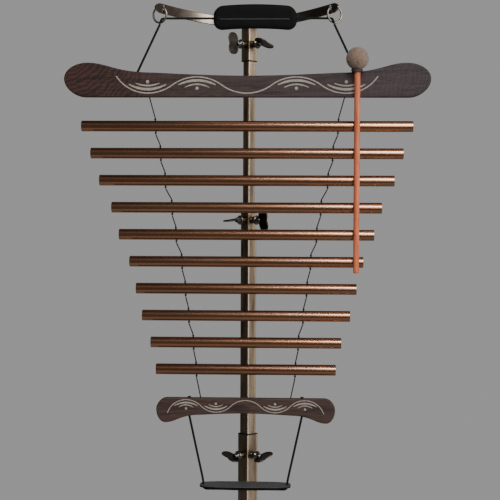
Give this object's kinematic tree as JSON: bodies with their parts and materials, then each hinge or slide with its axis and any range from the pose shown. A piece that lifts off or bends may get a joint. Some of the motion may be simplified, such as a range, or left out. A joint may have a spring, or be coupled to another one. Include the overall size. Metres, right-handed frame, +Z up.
{
  "type": "tubular bar chime on stand",
  "caption": "Hanging ladder chime of tuned bronze tubes between two wooden yokes, with leather grips and mallet, hung from a telescoping stand.",
  "frame": {"origin": "on the floor, under the axis of the mast", "axes": "+Z up along the mast, +X along the tubes to the player's right, -Y towards the player"},
  "size_m": [0.639, 0.4172, 1.1999],
  "materials": {
    "bronze_tube": "drawn and polished bronze-brown tube with fine lengthwise lines",
    "dark_wood": "dark brown stained hardwood, satin, fine grain along the length",
    "red_wood": "red-brown stained hardwood, satin",
    "handle_wood": "orange-red stained hardwood dowel, satin",
    "mast_metal": "antique bronze plated square steel tube, satin",
    "bow_metal": "antique bronze plated flat steel bar, satin",
    "ring_metal": "plated steel wire ring",
    "wing_metal": "dark gunmetal cast wing screw",
    "foot_metal": "dark powder-coated steel bar",
    "leather": "black grained leather",
    "cord": "black braided cord",
    "rubber": "dark grey matt rubber",
    "felt": "beige-brown pressed felt ball"
  },
  "bodies": {
    "stand": {"foot_bar_left_front": "foot_metal", "foot_bar_right_front": "foot_metal", "lower_mast": "mast_metal"},
    "middle_mast": {"middle_mast": "mast_metal"},
    "upper_mast": {"upper_mast": "mast_metal"},
    "hanger": {"hanger_sleeve": "mast_metal", "hanger_bow": "bow_metal"},
    "bridle": {"left_ring": "ring_metal", "right_ring": "ring_metal", "bridle_cord": "cord", "upper_grip": "leather"},
    "upper_yoke": {"upper_yoke": "dark_wood", "upper_cord_left": "cord", "upper_cord_right": "cord", "mallet_link": "rubber"},
    "tube_01": {"chime_tube_01": "bronze_tube", "left_cord_01": "cord", "right_cord_01": "cord"},
    "tube_02": {"chime_tube_02": "bronze_tube", "left_cord_02": "cord", "right_cord_02": "cord"},
    "tube_03": {"chime_tube_03": "bronze_tube", "left_cord_03": "cord", "right_cord_03": "cord"},
    "tube_04": {"chime_tube_04": "bronze_tube", "left_cord_04": "cord", "right_cord_04": "cord"},
    "tube_05": {"chime_tube_05": "bronze_tube", "left_cord_05": "cord", "right_cord_05": "cord"},
    "tube_06": {"chime_tube_06": "bronze_tube", "left_cord_06": "cord", "right_cord_06": "cord"},
    "tube_07": {"chime_tube_07": "bronze_tube", "left_cord_07": "cord", "right_cord_07": "cord"},
    "tube_08": {"chime_tube_08": "bronze_tube", "left_cord_08": "cord", "right_cord_08": "cord"},
    "tube_09": {"chime_tube_09": "bronze_tube", "left_cord_09": "cord", "right_cord_09": "cord"},
    "tube_10": {"chime_tube_10": "bronze_tube", "left_cord_10": "cord", "right_cord_10": "cord"},
    "lower_yoke": {"lower_yoke": "red_wood", "left_cord_11": "cord", "right_cord_11": "cord", "lower_knot_left": "cord", "lower_knot_right": "cord"},
    "lower_grip": {"lower_grip": "leather", "lower_cord": "cord"},
    "mallet": {"mallet_handle": "handle_wood", "mallet_head": "felt"},
    "lower_wing_screw_left": {"lower_wing_screw_left": "wing_metal"},
    "lower_wing_screw_right": {"lower_wing_screw_right": "wing_metal"},
    "middle_wing_screw_left": {"middle_wing_screw_left": "wing_metal"},
    "middle_wing_screw_right": {"middle_wing_screw_right": "wing_metal"},
    "hanger_wing_screw_left": {"hanger_wing_screw_left": "wing_metal"},
    "hanger_wing_screw_right": {"hanger_wing_screw_right": "wing_metal"}
  },
  "joints": [
    {"name": "middle_mast_slide", "type": "slide", "parent": "stand", "child": "middle_mast", "axis": [0, 0, 1], "range_m": [-0.18, 0.1]},
    {"name": "upper_mast_slide", "type": "slide", "parent": "middle_mast", "child": "upper_mast", "axis": [0, 0, 1], "range_m": [-0.1, 0.1]},
    {"name": "hanger_lift", "type": "slide", "parent": "upper_mast", "child": "hanger", "axis": [0, 0, 1], "range_m": [0, 0.045]},
    {"name": "bridle_swing", "type": "hinge", "parent": "hanger", "child": "bridle", "pos_m": [0, -0.1141, 1.19302], "axis": [-1, 0, 0], "range_deg": [-3, 12]},
    {"name": "upper_yoke_swing", "type": "hinge", "parent": "bridle", "child": "upper_yoke", "pos_m": [0, -0.116, 1.1648], "axis": [1, 0, 0], "range_deg": [-10, 3]},
    {"name": "tube_01_swing", "type": "hinge", "parent": "upper_yoke", "child": "tube_01", "pos_m": [0, -0.11, 1.0379], "axis": [-1, 0, 0], "range_deg": [-1.8, 1.8]},
    {"name": "tube_02_swing", "type": "hinge", "parent": "tube_01", "child": "tube_02", "pos_m": [0, -0.11, 0.97395], "axis": [1, 0, 0], "range_deg": [-2, 2]},
    {"name": "tube_03_swing", "type": "hinge", "parent": "tube_02", "child": "tube_03", "pos_m": [0, -0.11, 0.92665], "axis": [-1, 0, 0], "range_deg": [-2.5, 2.5]},
    {"name": "tube_04_swing", "type": "hinge", "parent": "tube_03", "child": "tube_04", "pos_m": [0, -0.11, 0.87935], "axis": [1, 0, 0], "range_deg": [-3.5, 3.5]},
    {"name": "tube_05_swing", "type": "hinge", "parent": "tube_04", "child": "tube_05", "pos_m": [0, -0.11, 0.83205], "axis": [-1, 0, 0], "range_deg": [-5, 5]},
    {"name": "tube_06_swing", "type": "hinge", "parent": "tube_05", "child": "tube_06", "pos_m": [0, -0.11, 0.78475], "axis": [1, 0, 0], "range_deg": [-6, 6]},
    {"name": "tube_07_swing", "type": "hinge", "parent": "tube_06", "child": "tube_07", "pos_m": [0, -0.11, 0.73745], "axis": [-1, 0, 0], "range_deg": [-6, 6]},
    {"name": "tube_08_swing", "type": "hinge", "parent": "tube_07", "child": "tube_08", "pos_m": [0, -0.11, 0.69015], "axis": [1, 0, 0], "range_deg": [-6, 6]},
    {"name": "tube_09_swing", "type": "hinge", "parent": "tube_08", "child": "tube_09", "pos_m": [0, -0.11, 0.64285], "axis": [-1, 0, 0], "range_deg": [-6, 6]},
    {"name": "tube_10_swing", "type": "hinge", "parent": "tube_09", "child": "tube_10", "pos_m": [0, -0.11, 0.59555], "axis": [1, 0, 0], "range_deg": [-6, 6]},
    {"name": "lower_yoke_swing", "type": "hinge", "parent": "tube_10", "child": "lower_yoke", "pos_m": [0, -0.11, 0.54825], "axis": [-1, 0, 0], "range_deg": [-6, 6]},
    {"name": "lower_grip_swing", "type": "hinge", "parent": "lower_yoke", "child": "lower_grip", "pos_m": [0, -0.11, 0.48048], "axis": [1, 0, 0], "range_deg": [-10, 10]},
    {"name": "mallet_lift", "type": "slide", "parent": "upper_yoke", "child": "mallet", "axis": [0, 0, 1], "range_m": [0, 0.36]},
    {"name": "lower_wing_screw_left_turn", "type": "hinge", "parent": "stand", "child": "lower_wing_screw_left", "pos_m": [0, 0, 0.3923], "axis": [-0.7071, -0.7071, 0], "continuous": true},
    {"name": "lower_wing_screw_right_turn", "type": "hinge", "parent": "stand", "child": "lower_wing_screw_right", "pos_m": [0, 0, 0.3923], "axis": [0.7071, -0.7071, 0], "continuous": true},
    {"name": "middle_wing_screw_left_turn", "type": "hinge", "parent": "middle_mast", "child": "middle_wing_screw_left", "pos_m": [0, 0, 0.8233], "axis": [-0.7071, -0.7071, 0], "continuous": true},
    {"name": "middle_wing_screw_right_turn", "type": "hinge", "parent": "middle_mast", "child": "middle_wing_screw_right", "pos_m": [0, 0, 0.8233], "axis": [0.7071, -0.7071, 0], "continuous": true},
    {"name": "hanger_wing_screw_left_turn", "type": "hinge", "parent": "hanger", "child": "hanger_wing_screw_left", "pos_m": [0, 0, 1.1423], "axis": [-0.7071, -0.7071, 0], "continuous": true},
    {"name": "hanger_wing_screw_right_turn", "type": "hinge", "parent": "hanger", "child": "hanger_wing_screw_right", "pos_m": [0, 0, 1.1423], "axis": [0.7071, -0.7071, 0], "continuous": true}
  ]
}
